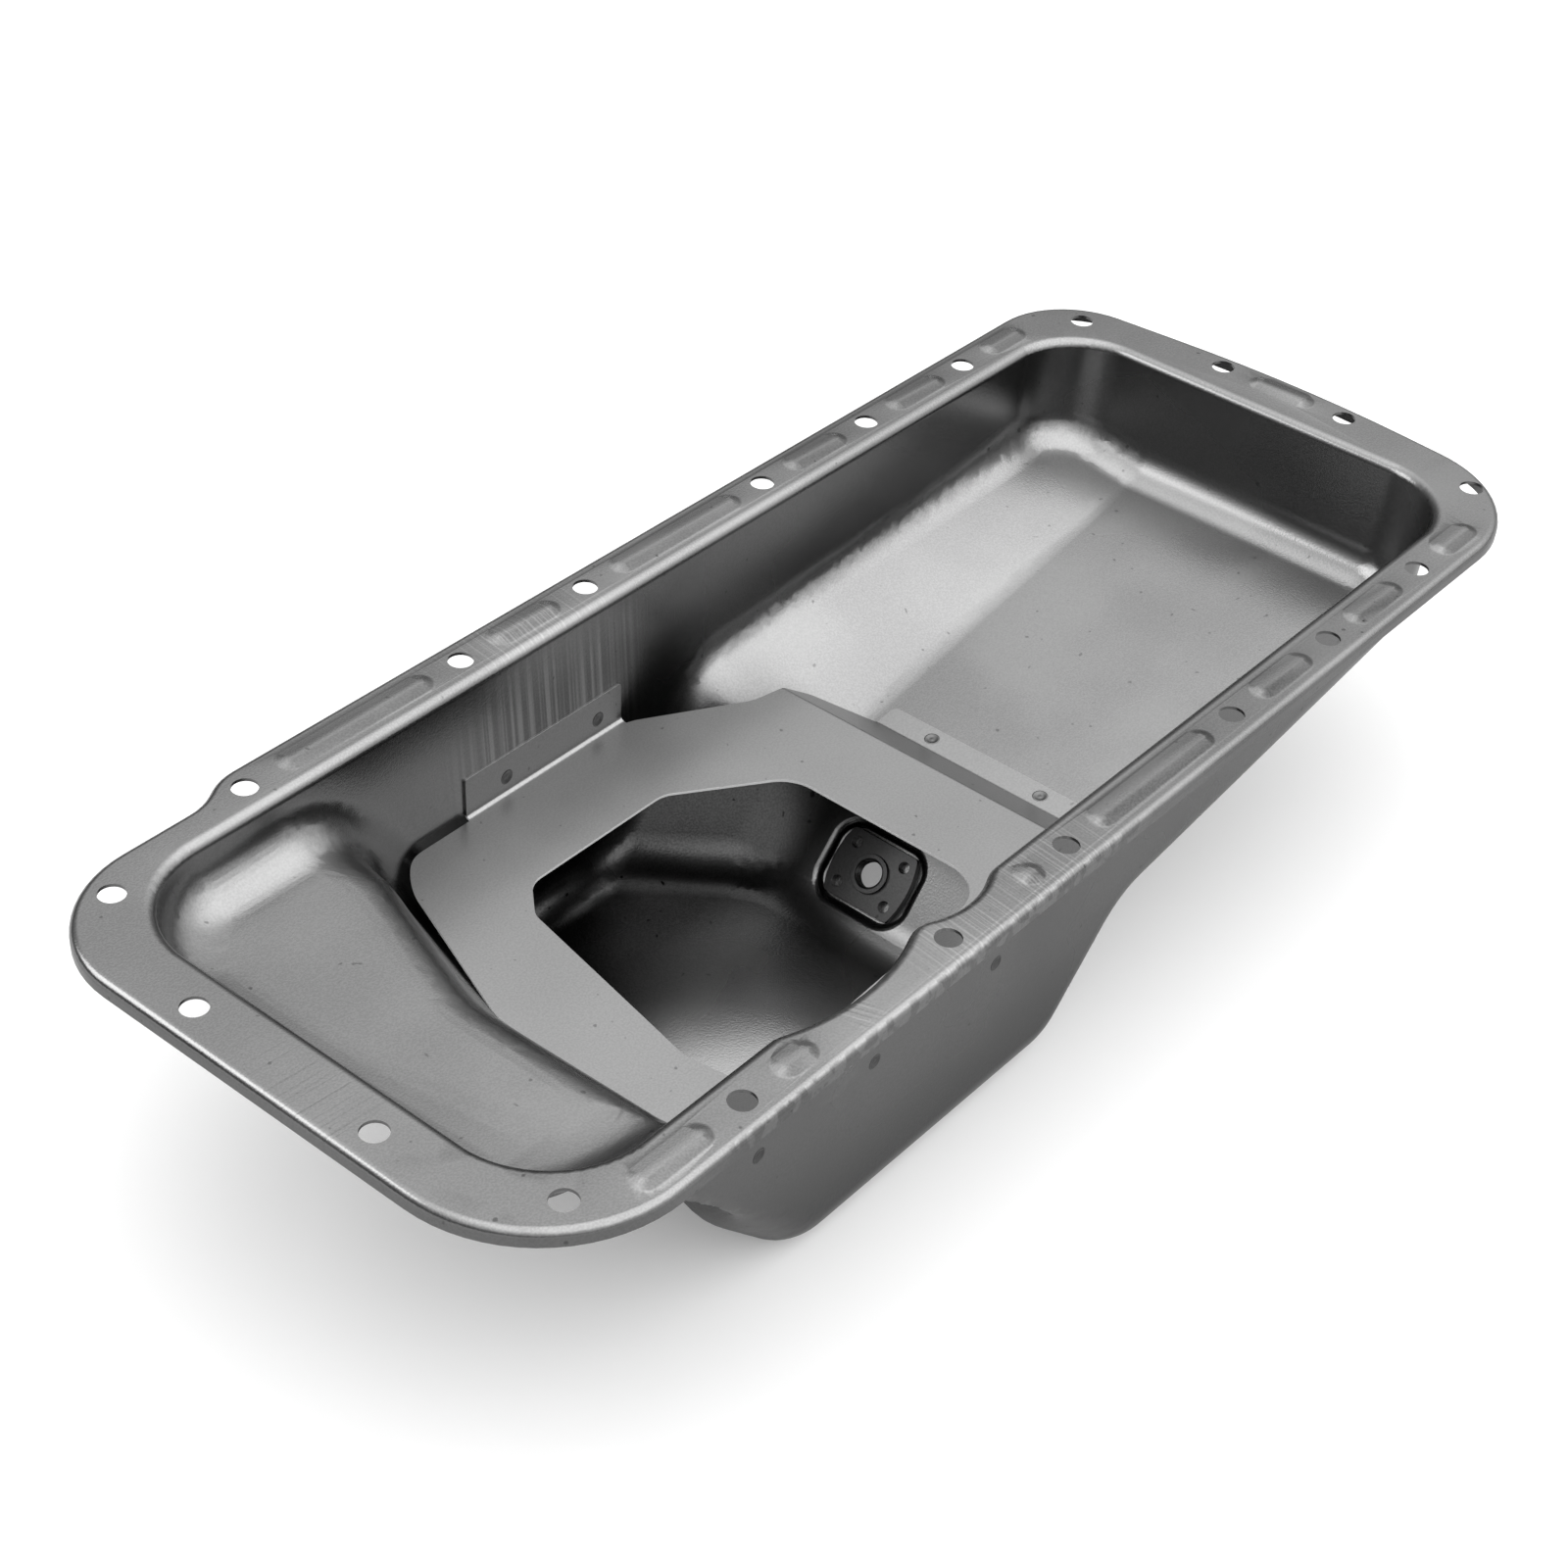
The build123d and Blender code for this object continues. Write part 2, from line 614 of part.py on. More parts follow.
def tray_outline():
    """Plan of the tray, cut to the sump sides and walls with a clearance."""
    rise = PAN_DEPTH - SHEET - TRAY_DEPTH - TRAY_SHEET
    near = moved(sump_lines(rise)[0], -TRAY_CLEARANCE)
    wall_y = HALF_TROUGH - (TRAY_DEPTH + TRAY_SHEET) * tan(SIDE_LEAN) - TRAY_BEND - TRAY_SHEET
    left = plan_line(90, (0, wall_y))
    edge_x = along(TRAY_NEAR_STATION)
    edge = plan_line(180, (edge_x, 0))
    foot_x = along(TRAY_FOOT_STATION)
    end_x = foot_x + TRAY_FOOT_LENGTH
    corners = [
        ((edge_x, -wall_y), TRAY_FOOT_RADIUS),
        ((along(TRAY_FOLD_STATION), -wall_y), TRAY_EDGE_RADIUS),
        ((foot_x, -TRAY_FOOT_RIGHT), TRAY_FOOT_RADIUS),
        ((end_x, -TRAY_FOOT_RIGHT), TRAY_FOOT_RADIUS),
        ((end_x, TRAY_FOOT_LEFT), TRAY_FOOT_RADIUS),
        ((foot_x, TRAY_FOOT_LEFT), TRAY_FOOT_RADIUS),
        ((along(TRAY_ELBOW[0]), TRAY_ELBOW[1]), TRAY_EDGE_RADIUS),
        ((along(TRAY_SHOULDER[0]), TRAY_SHOULDER[1]), TRAY_SHOULDER_RADIUS),
        ((along(TRAY_LEFT_WALL_END), wall_y), TRAY_WALL_RADIUS),
        (crossing(near, left), TRAY_LEFT_RADIUS),
        (crossing(edge, near), TRAY_NEAR_RADIUS),
    ]
    return face_at(0, [place for place, _ in corners], [radius for _, radius in corners])


def folded_section(points, thickness):
    """Section of a folded sheet under a line of points, as thick at the folds as between."""
    turns = []
    for (xa, za), (xb, zb) in zip(points, points[1:]):
        turns.append(math.atan2(zb - za, xb - xa))
    lower = []
    for index, (x, z) in enumerate(points):
        before = turns[max(index - 1, 0)]
        after = turns[min(index, len(turns) - 1)]
        middle = (before + after) / 2
        reach = thickness / math.cos((after - before) / 2)
        lower.append((x + reach * math.sin(middle), z - reach * math.cos(middle)))
    return make_face(Polyline(*points, *reversed(lower), close=True)), lower


def rounded_at(face, place, radius):
    """The face with its corner nearest a place rounded."""
    corner = face.vertices().sort_by_distance((place[0], place[1], 0))[0]
    return fillet(corner, radius)


def windage_tray():
    """Folded tray: flat deck with its opening, sloping strip, welded foot and two tabs."""
    deck = below(TRAY_DEPTH)
    fold_x = along(TRAY_FOLD_STATION)
    foot_x = along(TRAY_FOOT_STATION)
    lift = TRAY_SHEET / cos(FAR_FLOOR_SLOPE)
    start_x = along(TRAY_NEAR_STATION) - TRAY_FOOT_LENGTH
    end_x = foot_x + 2 * TRAY_FOOT_LENGTH
    points = (
        (start_x, deck),
        (fold_x, deck),
        (foot_x, far_floor(foot_x) + lift),
        (end_x, far_floor(end_x) + lift),
    )
    section, lower = folded_section(points, TRAY_SHEET)
    for upper_fold, lower_fold, hump in ((points[1], lower[1], True), (points[2], lower[2], False)):
        over = TRAY_BEND + TRAY_SHEET
        section = rounded_at(section, upper_fold, over if hump else TRAY_BEND)
        section = rounded_at(section, lower_fold, TRAY_BEND if hump else over)
    sheet = extrude(Plane.XZ * section, PAN_WIDTH, both=True)
    plan = tray_outline()
    cut = extrude(plan, PAN_DEPTH)
    opening = face_at(0, [(along(s), y) for s, y, _ in OPENING], [r for _, _, r in OPENING])
    tray = (sheet & cut) - extrude(opening, PAN_DEPTH)
    for (start, end), side in ((LEFT_TAB, 1), (RIGHT_TAB, -1)):
        tray = tray + wall_tab(start, end, side)
    for station, side in [(s, 1) for s in LEFT_WELDS] + [(s, -1) for s in RIGHT_WELDS]:
        plane = wall_plane(station, side, WELD_DEPTH, False)
        tray = tray - weld_dimple(plane * Pos(0, 0, TRAY_SHEET))
    weld_x = foot_x + TRAY_FOOT_LENGTH / 2
    for y in FOOT_WELDS:
        foot = Pos(weld_x, y, far_floor(weld_x) + lift) * Rot(0, -FAR_FLOOR_SLOPE, 0)
        tray = tray - weld_dimple(foot)
    return tray


def wall_tab(start, end, side):
    """Tab folded up from the deck against a side wall."""
    deck = below(TRAY_DEPTH)
    base = deck - TRAY_SHEET
    top = deck + TAB_HEIGHT
    outer = [HALF_TROUGH - (GASKET_FACE - z) * tan(SIDE_LEAN) for z in (base, top)]
    inner = [y - TRAY_SHEET / cos(SIDE_LEAN) for y in outer]
    inside = outer[0] - 6 * TRAY_BEND
    points = (
        (inside, base),
        (outer[0], base),
        (outer[1], top),
        (inner[1], top),
        (inner[0], deck),
        (inside, deck),
    )
    section = make_face(Polyline(*points, close=True))
    section = rounded_at(section, points[1], TRAY_BEND + TRAY_SHEET)
    section = rounded_at(section, points[4], TRAY_BEND)
    tab = Pos(along(start), 0, 0) * extrude(Plane.YZ * section, end - start)
    reach = 2 * TAB_HEIGHT
    front = RectangleRounded(end - start, reach, TAB_CORNER_RADIUS)
    middle = Pos(along((start + end) / 2), 0, top - reach / 2)
    tab = tab & (middle * extrude(Plane.XZ * front, PAN_WIDTH, both=True))
    return tab if side > 0 else mirror(tab, Plane.XZ)


os.makedirs("parts", exist_ok=True)
for name, make in (
    ("oil_pan_shell", oil_pan_shell),
    ("windage_tray", windage_tray),
    ("drain_nut_plate", drain_nut_plate),
):
    piece = make()
    print(name, "valid", piece.is_valid, "solids", len(piece.solids()), "volume", round(piece.volume))
    export_step(piece, f"parts/{name}.step")
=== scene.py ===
"""Engine oil pan: bare drawn steel shell, windage tray and drain nut plate, dressed for a render.

Lengths are metres in the part's own frame: X along the pan, Y across it, Z up from the underside
of the sump. Left is +Y, and near is -X. The pan's solids come from the frame. This file gives them
their skin and finish, with some light and shade painted into the steel, bends the near side of
the sump to its curved line, draws the tray's near left corner back from it, cuts the drain thread,
rings the spot welds, and adds the floor, the soft light and the camera.
"""
import math

import bmesh
import bpy
import numpy as np
from mathutils import Matrix, Vector


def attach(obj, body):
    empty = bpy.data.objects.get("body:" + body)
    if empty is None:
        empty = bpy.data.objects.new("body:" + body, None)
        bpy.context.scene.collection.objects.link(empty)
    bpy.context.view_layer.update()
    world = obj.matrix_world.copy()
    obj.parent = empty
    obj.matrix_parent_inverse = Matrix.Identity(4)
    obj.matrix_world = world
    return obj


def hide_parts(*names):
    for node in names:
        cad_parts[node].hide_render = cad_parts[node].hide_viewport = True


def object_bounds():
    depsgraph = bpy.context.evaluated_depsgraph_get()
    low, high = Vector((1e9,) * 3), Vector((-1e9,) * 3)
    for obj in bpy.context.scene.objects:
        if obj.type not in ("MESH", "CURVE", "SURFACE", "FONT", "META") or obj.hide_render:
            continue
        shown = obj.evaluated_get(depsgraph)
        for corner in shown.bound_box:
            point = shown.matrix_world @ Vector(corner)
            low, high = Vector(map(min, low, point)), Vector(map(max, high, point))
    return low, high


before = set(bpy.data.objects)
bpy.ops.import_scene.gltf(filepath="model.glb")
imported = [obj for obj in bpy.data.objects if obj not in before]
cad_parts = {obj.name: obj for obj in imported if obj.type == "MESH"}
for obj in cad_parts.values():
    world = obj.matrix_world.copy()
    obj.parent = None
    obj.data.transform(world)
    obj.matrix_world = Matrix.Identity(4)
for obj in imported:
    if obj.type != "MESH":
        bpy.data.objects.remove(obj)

bl_info = {
    "name": "Engine Oil Pan",
    "version": (1, 0, 0),
    "blender": (4, 5, 0),
    "location": "3D View > Sidebar > Oil Pan",
    "description": "Builds a drawn steel engine oil pan on its packed solids",
    "category": "Object",
}

CAD_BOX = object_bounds()
MM = 0.001

# Shell: half its length and width, gasket face, rail, lean of the side walls, thickness of the sheet
HALF_LENGTH = (CAD_BOX[1][0] - CAD_BOX[0][0]) / 2
HALF_WIDTH = (CAD_BOX[1][1] - CAD_BOX[0][1]) / 2
GASKET_FACE = 124.0 * MM
RAIL_WIDTH = 23.0 * MM
RAIL_MIDDLE = HALF_WIDTH - 11.0 * MM
SIDE_LEAN = math.radians(1.2)
HALF_TROUGH = HALF_WIDTH - RAIL_WIDTH
SHEET = 1.2 * MM

# Tray: its thickness and the height of its upper face
TRAY_SHEET = 1.0 * MM
TRAY_FACE = GASKET_FACE - 57.0 * MM

# Spot welds: depth below the gasket face, distances from the near end, and places on the foot
WELD_DEPTH = 50.0 * MM
LEFT_WELDS = (205.5 * MM, 254.5 * MM)
RIGHT_WELDS = (120.5 * MM, 179.5 * MM, 246.5 * MM)
FOOT_WELDS = (14.9 * MM, -37.4 * MM)
FOOT_WELD_X = 69.15 * MM
FOOT_WELD_Z = 49.45 * MM
FLOOR_SLOPE = math.radians(7.9)

# Drain: slope of the side that it sits on, and the direction of its bore into the pan
DRAIN_SLOPE = math.radians(48.0)
DRAIN_INWARD = (-math.sin(DRAIN_SLOPE), 0.0, math.cos(DRAIN_SLOPE))

# Texture of the steel, in features to the metre, and the height of its grain
CLOUDS = 14.0
GRAINS = 1300.0
SPECKS = 330.0
GRAIN_HEIGHT = 0.05 * MM

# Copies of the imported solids: merging distance, flat, sharp and cut angles, width of a broken edge
MERGE = 0.01 * MM
FLAT_ANGLE = math.radians(0.4)
SHARP_ANGLE = math.radians(32.0)
CUT_ANGLE = math.radians(50.0)
CUT_EDGE = 0.4 * MM


def grey(level):
    """Opaque grey of one level."""
    return (level, level, level, 1.0)


class NodeSheet:
    """Lays out the nodes of one material and joins them."""

    def __init__(self, name):
        self.material = bpy.data.materials.new(name)
        self.material.use_nodes = True
        self.tree = self.material.node_tree
        self.tree.nodes.clear()
        self.output = self.tree.nodes.new("ShaderNodeOutputMaterial")
        self.cloud = None

    def add(self, kind, inputs=None, **settings):
        """New node, with its settings by attribute and its free inputs by name or number."""
        node = self.tree.nodes.new(kind)
        for key, value in settings.items():
            setattr(node, key, value)
        for key, value in (inputs or {}).items():
            node.inputs[key].default_value = value
        return node

    def join(self, source, target):
        """Links an output socket to an input socket."""
        self.tree.links.new(source, target)

    def object_place(self, scale=(1.0, 1.0, 1.0), shift=(0.0, 0.0, 0.0)):
        """Object coordinates, scaled and shifted; returns the vector socket."""
        place = self.add("ShaderNodeTexCoord")
        mapping = self.add("ShaderNodeMapping", {"Location": shift, "Scale": scale})
        self.join(place.outputs["Object"], mapping.inputs["Vector"])
        return mapping.outputs["Vector"]

    def split(self, kind):
        """X, Y and Z sockets of the Object coordinates or of the Normal."""
        parts = self.add("ShaderNodeSeparateXYZ")
        self.join(self.add("ShaderNodeTexCoord").outputs[kind], parts.inputs["Vector"])
        return parts.outputs["X"], parts.outputs["Y"], parts.outputs["Z"]

    def math(self, operation, *values):
        """Math node of sockets and plain numbers; returns its value socket."""
        node = self.add("ShaderNodeMath", operation=operation)
        for index, value in enumerate(values):
            if isinstance(value, (int, float)):
                node.inputs[index].default_value = value
            else:
                self.join(value, node.inputs[index])
        return node.outputs["Value"]

    def product(self, first, *others):
        """A socket times each of the others."""
        value = first
        for other in others:
            value = self.math("MULTIPLY", value, other)
        return value

    def total(self, start, *terms):
        """A number plus each socket times its weight."""
        value = start
        for socket, weight in terms:
            value = self.math("MULTIPLY_ADD", socket, weight, value)
        return value

    def levels(self, value, low, high, start=0.0, end=1.0):
        """Maps low..high of a value to start..end, clamped and eased at both ends."""
        inputs = {"From Min": low, "From Max": high, "To Min": start, "To Max": end}
        node = self.add("ShaderNodeMapRange", inputs, interpolation_type="SMOOTHSTEP")
        self.join(value, node.inputs["Value"])
        return node.outputs["Result"]

    def noise(self, scale, detail=0.0, stretch=(1.0, 1.0, 1.0)):
        """Noise from 0 to 1 on Object coordinates, finer along the axes that are stretched."""
        node = self.add("ShaderNodeTexNoise", {"Scale": scale, "Detail": detail})
        self.join(self.object_place(stretch), node.inputs["Vector"])
        return node.outputs["Fac"]

    def lines(self, direction, per_metre, detail):
        """Noise from 0 to 1 that changes along one direction only, as parallel scratches do."""
        reach = self.add("ShaderNodeVectorMath", operation="DOT_PRODUCT")
        self.join(self.object_place(), reach.inputs[0])
        reach.inputs[1].default_value = Vector(direction).normalized() * per_metre
        node = self.add("ShaderNodeTexNoise", {"Scale": 1.0, "Detail": detail}, noise_dimensions="1D")
        self.join(reach.outputs["Value"], node.inputs["W"])
        return node.outputs["Fac"]

    def box(self, middle, half, soft):
        """Mask that is 1 inside a box and fades out over the outer share of its half sizes."""
        scale = tuple(1.0 / size for size in half)
        shift = tuple(-place / size for place, size in zip(middle, half))
        inside = self.add("ShaderNodeVectorMath", operation="ABSOLUTE")
        self.join(self.object_place(scale, shift), inside.inputs[0])
        parts = self.add("ShaderNodeSeparateXYZ")
        self.join(inside.outputs["Vector"], parts.inputs["Vector"])
        reach = self.math("MAXIMUM", parts.outputs["X"], parts.outputs["Y"])
        reach = self.math("MAXIMUM", reach, parts.outputs["Z"])
        return self.levels(reach, 1.0 - soft, 1.0, 1.0, 0.0)


def shade(sheet):
    """Painted shade: the share of the tone that a face keeps, less where it stands upright and less low in
    the sump.
    """
    _, _, level = sheet.split("Normal")
    _, _, height = sheet.split("Object")
    upright = sheet.levels(sheet.math("ABSOLUTE", level), 0.1, 0.85, 0.58, 1.0)
    return sheet.product(upright, sheet.levels(height, 0.0, 72 * MM, 0.62, 1.0))


def scratches(sheet, direction, per_metre=700.0, start=0.52):
    """Parallel hairlines across a direction, broken into loose groups by the slow clouds."""
    fine = sheet.levels(sheet.lines(direction, per_metre, 2.0), start, start + 0.22)
    return sheet.product(fine, sheet.levels(sheet.cloud, -0.6, 0.5, 0.25, 1.0))


def end_flange_marks(sheet):
    """Scratches across the near end of the flange, between its two end holes, and down its lip."""
    middle = (11 * MM - HALF_LENGTH, -6 * MM, GASKET_FACE)
    place = sheet.box(middle, (14 * MM, 46 * MM, 8 * MM), 0.5)
    return sheet.product(scratches(sheet, (0.08, 1.0, 0.0)), place)


def rail_marks(sheet):
    """Brushed scratches across both rails beside the sump."""
    left = sheet.box((-72 * MM, RAIL_MIDDLE, GASKET_FACE), (52 * MM, 14 * MM, 9 * MM), 0.5)
    right = sheet.box((-62 * MM, -RAIL_MIDDLE, GASKET_FACE), (62 * MM, 14 * MM, 9 * MM), 0.5)
    place = sheet.math("MAXIMUM", left, right)
    return sheet.product(scratches(sheet, (1.0, -0.12, 0.0), 900.0, 0.45), place)


def wall_marks(sheet):
    """Draw lines that run down the left wall beside the tray, on its inner face only."""
    place = sheet.box((-60 * MM, HALF_TROUGH, 88 * MM), (62 * MM, 6 * MM, 38 * MM), 0.7)
    _, across, _ = sheet.split("Normal")
    inner = sheet.levels(across, -0.3, 0.3, 1.0, 0.0)
    return sheet.product(scratches(sheet, (1.0, 0.0, 0.06), 330.0, 0.42), place, inner)


def painted_wall_shade(sheet):
    """Painted shade, mottled by the clouds, on the middle of the left wall, where the tray would light it
    up.
    """
    place = sheet.box((-44 * MM, HALF_TROUGH, 84 * MM), (76 * MM, 6 * MM, 40 * MM), 0.8)
    return sheet.product(place, sheet.levels(sheet.cloud, -1.0, 1.0, 0.8, 1.0))


def lip_scuffs(sheet):
    """Patches on the right lip where the surface is rubbed bright or left dark."""
    middle = (-105 * MM, -HALF_WIDTH, GASKET_FACE - 4 * MM)
    place = sheet.box(middle, (125 * MM, 1.8 * MM, 5 * MM), 0.3)
    patches = sheet.noise(1.0, 2.0, (210.0, 60.0, 160.0))
    return sheet.product(sheet.levels(patches, 0.46, 0.54, -1.0, 1.0), place)


def press_wrinkles(sheet):
    """Short ripples beside the large bulge, where the flange was pinched in the press."""
    place = sheet.box((-141 * MM, -109 * MM, GASKET_FACE), (7 * MM, 11 * MM, 4 * MM), 0.6)
    ripples = sheet.lines((1.0, 0.35, 0.0), 480.0, 0.0)
    return sheet.product(sheet.levels(ripples, 0.35, 0.65), place)


def stains(sheet):
    """Dull patches: on the near right corner of the flange, and high on the inner left wall."""
    corner = sheet.box((-262 * MM, -76 * MM, GASKET_FACE), (30 * MM, 34 * MM, 9 * MM), 0.8)
    wall = sheet.box((-212 * MM, HALF_TROUGH, 100 * MM), (9 * MM, 6 * MM, 16 * MM), 0.8)
    patches = sheet.levels(sheet.noise(70.0, 1.0), 0.45, 0.6)
    return sheet.product(patches, sheet.math("MAXIMUM", corner, wall))


def painted_sump_light(sheet):
    """Painted light and shade on the sump's inner faces: painted dark on the left, painted bright as a
    reflection to the right.
    """
    along, across, height = sheet.split("Object")
    # painted reflection, bright on the middle and right of the sump floor
    painted_bright = sheet.product(
        sheet.levels(across, -88 * MM, -50 * MM),
        sheet.levels(across, -10 * MM, 34 * MM, 1.7, 0.0),
        sheet.levels(along, -22 * MM, 8 * MM, 1.0, 0.1),
        sheet.levels(height, 16 * MM, 64 * MM, 1.0, 0.0),
    )
    # painted shade on the left of the sump
    painted_dark = sheet.product(
        sheet.levels(across, 22 * MM, 52 * MM, 0.0, -0.66),
        sheet.levels(along, 32 * MM, 58 * MM, 1.0, 0.0),
        sheet.levels(height, 46 * MM, 74 * MM, 1.0, 0.0),
    )
    _, _, upward = sheet.split("Normal")
    return sheet.product(sheet.math("ADD", painted_bright, painted_dark), sheet.levels(upward, -0.1, 0.25))


def painted_rail_shade(sheet):
    """Painted shade, mottled by the clouds, along the middle of the right rail."""
    middle = (60 * MM, 10 * MM - HALF_WIDTH, GASKET_FACE)
    place = sheet.box(middle, (190 * MM, 11 * MM, 9 * MM), 0.5)
    return sheet.product(place, sheet.levels(sheet.cloud, -1.0, 1.0, 0.7, 1.0))


def painted_bead_light(sheet):
    """Painted light on the beads: a little lighter on the crest, a painted highlight on the left slope and
    painted shade on the right slope.
    """
    _, across, _ = sheet.split("Normal")
    _, _, height = sheet.split("Object")
    proud = sheet.levels(height, GASKET_FACE + 0.05 * MM, GASKET_FACE + 0.3 * MM)
    right = sheet.levels(across, -0.24, 0.0, -0.46, 0.06)
    left = sheet.levels(across, 0.0, 0.24, 0.0, 0.5)
    return sheet.product(proud, sheet.math("ADD", right, left))


def cut_edges_painted_bright(sheet):
    """Where the opening and the outline of the tray are cut: bare metal, painted bright as a highlight."""
    _, _, level = sheet.split("Normal")
    _, _, height = sheet.split("Object")
    upright = sheet.levels(sheet.math("ABSOLUTE", level), 0.3, 0.8, 1.0, 0.0)
    above = sheet.levels(height, TRAY_FACE - 2.2 * MM, TRAY_FACE - 1.4 * MM)
    below = sheet.levels(height, TRAY_FACE + 0.3 * MM, TRAY_FACE + 1.3 * MM, 1.0, 0.0)
    return sheet.product(upright, above, below)


def steel(name, tone, roughness, cloudiness, marks=(), burrs=None):
    """Bare steel: slow clouds, fine grain, dark specks, the marks of the press, and light and shade
    painted in by shade() and by some of the marks.

    Each mark is a function with how much brighter and how much higher it makes the surface.
    Where burrs are given, the metal scatters the light instead of mirroring it.
    """
    sheet = NodeSheet(name)
    shader = sheet.add("ShaderNodeBsdfPrincipled", {"Metallic": 1.0})
    sheet.join(shader.outputs["BSDF"], sheet.output.inputs["Surface"])

    sheet.cloud = sheet.levels(sheet.noise(CLOUDS, 2.0), 0.32, 0.68, -1.0, 1.0)
    grain = sheet.levels(sheet.noise(GRAINS), 0.2, 0.8, -1.0, 1.0)
    speck = sheet.levels(sheet.noise(SPECKS), 0.8, 0.88)

    terms = [(sheet.cloud, cloudiness), (grain, 0.06), (speck, -0.4)]
    heights = [(grain, 0.35)]
    for build, brighter, higher in marks:
        mark = build(sheet)
        terms.append((mark, brighter))
        if higher:
            heights.append((mark, higher))
    # shade() paints shade on upright faces and low in the sump
    level = sheet.product(sheet.total(1.0, *terms), shade(sheet), tone)
    sheet.join(level, shader.inputs["Base Color"])
    sheet.join(sheet.total(roughness, (sheet.cloud, 0.03)), shader.inputs["Roughness"])
    if burrs:
        sheet.join(sheet.levels(burrs(sheet), 0.0, 1.0, 1.0, 0.0), shader.inputs["Metallic"])

    bump = sheet.add("ShaderNodeBump", {"Strength": 0.35, "Distance": GRAIN_HEIGHT})
    sheet.join(sheet.total(0.0, *heights), bump.inputs["Height"])
    sheet.join(bump.outputs["Normal"], shader.inputs["Normal"])
    return sheet.material


def dress(piece, material):
    """Gives a piece one material."""
    piece.data.materials.clear()
    piece.data.materials.append(material)


def grid_quads(rows, columns, start=0, around=False, across=False):
    """Corner numbers of the quads of a grid; around closes its columns, across closes its rows."""
    index = start + np.arange(rows * columns).reshape(rows, columns)
    if around:
        index = np.concatenate([index, index[:, :1]], axis=1)
    if across:
        index = np.concatenate([index, index[:1]], axis=0)
    quads = np.stack([index[:-1, :-1], index[:-1, 1:], index[1:, 1:], index[1:, :-1]], axis=-1)
    return quads.reshape(-1, 4)


def surface(name, points, quads):
    """Mesh object of an array of points and the quads between them, shaded smooth."""
    mesh = bpy.data.meshes.new(name)
    mesh.vertices.add(points.size // 3)
    mesh.vertices.foreach_set("co", points.reshape(-1).astype(np.float32))
    mesh.loops.add(quads.size)
    mesh.loops.foreach_set("vertex_index", quads.reshape(-1).astype(np.int32))
    mesh.polygons.add(len(quads))
    mesh.polygons.foreach_set("loop_start", np.arange(0, quads.size, 4, dtype=np.int32))
    mesh.update(calc_edges=True)
    mesh.validate()
    mesh.shade_smooth()
    piece = bpy.data.objects.new(name, mesh)
    bpy.context.collection.objects.link(piece)
    return piece


def smoothstep(low, high, value):
    """0 below low, 1 above high, eased between them."""
    share = np.clip((value - low) / (high - low), 0.0, 1.0)
    return share * share * (3.0 - 2.0 * share)


def thread_points(radius, depth, pitch, length, sides=96, rows_per_turn=12, wall=0.02 * MM):
    """Closed ring with an inner thread, on its own axis from 0 to its length.

    Inner wall, with t the turn and a the height: r = radius - depth * (0.5 + 0.5 cos(2 pi a / pitch - t)),
    where the depth eases from nothing over the first and last third of a pitch. The last two rows
    are the plain outer wall that the inner wall closes on.
    """
    count = round(length / pitch * rows_per_turn)
    height = np.linspace(0.0, length, count)[:, None]
    turn = np.linspace(0.0, 2 * math.pi, sides, endpoint=False)[None, :]
    ends = smoothstep(0.0, pitch / 3, height) * smoothstep(0.0, pitch / 3, length - height)
    reach = radius - depth * ends * (0.5 + 0.5 * np.cos(2 * math.pi * height / pitch - turn))
    outer = np.full((2, sides), radius + wall)
    reach = np.concatenate([reach, outer])
    height = np.concatenate([height + 0 * turn, length + 0 * outer[:1], 0 * outer[:1]])
    turn = turn + 0 * reach
    return np.stack([reach * np.cos(turn), reach * np.sin(turn), height], axis=-1)


def weld_points(rows=26, sides=40):
    """Disc left by a spot weld, on its own axis.

    With r from 0.02 to 3.4 mm, its height is a raised ring 0.16 mm high at r = 2.6 mm, less a dish
    0.26 mm deep that eases out from 1.2 to 2.3 mm, plus a nub 0.12 mm high in the middle, and it
    sinks 0.06 mm into the sheet at its rim.
    """
    reach = np.linspace(0.02 * MM, 3.4 * MM, rows)[:, None]
    turn = np.linspace(0.0, 2 * math.pi, sides, endpoint=False)[None, :]
    ring = 0.16 * MM * np.exp(-(((reach - 2.6 * MM) / (0.32 * MM)) ** 2))
    dish = 0.26 * MM * (1.0 - smoothstep(1.2 * MM, 2.3 * MM, reach))
    nub = 0.12 * MM * np.exp(-((reach / (0.6 * MM)) ** 2))
    rim = 0.06 * MM * smoothstep(2.9 * MM, 3.4 * MM, reach)
    height = ring - dish + nub - rim + 0 * turn
    return np.stack([reach * np.cos(turn), reach * np.sin(turn), height], axis=-1)


def set_on(points, origin, normal, side=(1.0, 0.0, 0.0)):
    """Points of one axis moved to a plane with that origin, normal and X direction."""
    up = np.array(Vector(normal).normalized())
    right = np.array(side) - np.dot(side, up) * up
    right /= np.linalg.norm(right)
    ahead = np.cross(up, right)
    return points @ np.stack([right, ahead, up]) + np.array(origin)


def weld_places():
    """Origins and normals of the spot welds on the tray's tabs and foot and outside the right wall."""
    height = GASKET_FACE - WELD_DEPTH
    wall = HALF_TROUGH - WELD_DEPTH * math.tan(SIDE_LEAN)
    level, rise = math.cos(SIDE_LEAN), math.sin(SIDE_LEAN)
    places = []
    for stations, side in ((LEFT_WELDS, 1.0), (RIGHT_WELDS, -1.0)):
        for station in stations:
            origin = (station - HALF_LENGTH, side * (wall - TRAY_SHEET), height)
            places.append((origin, (0.0, -side * level, rise)))
    for across in FOOT_WELDS:
        normal = (-math.sin(FLOOR_SLOPE), 0.0, math.cos(FLOOR_SLOPE))
        places.append(((FOOT_WELD_X, across, FOOT_WELD_Z), normal))
    for station in RIGHT_WELDS:
        origin = (station - HALF_LENGTH, -wall - SHEET / level, height)
        places.append((origin, (0.0, -level, -rise)))
    return places


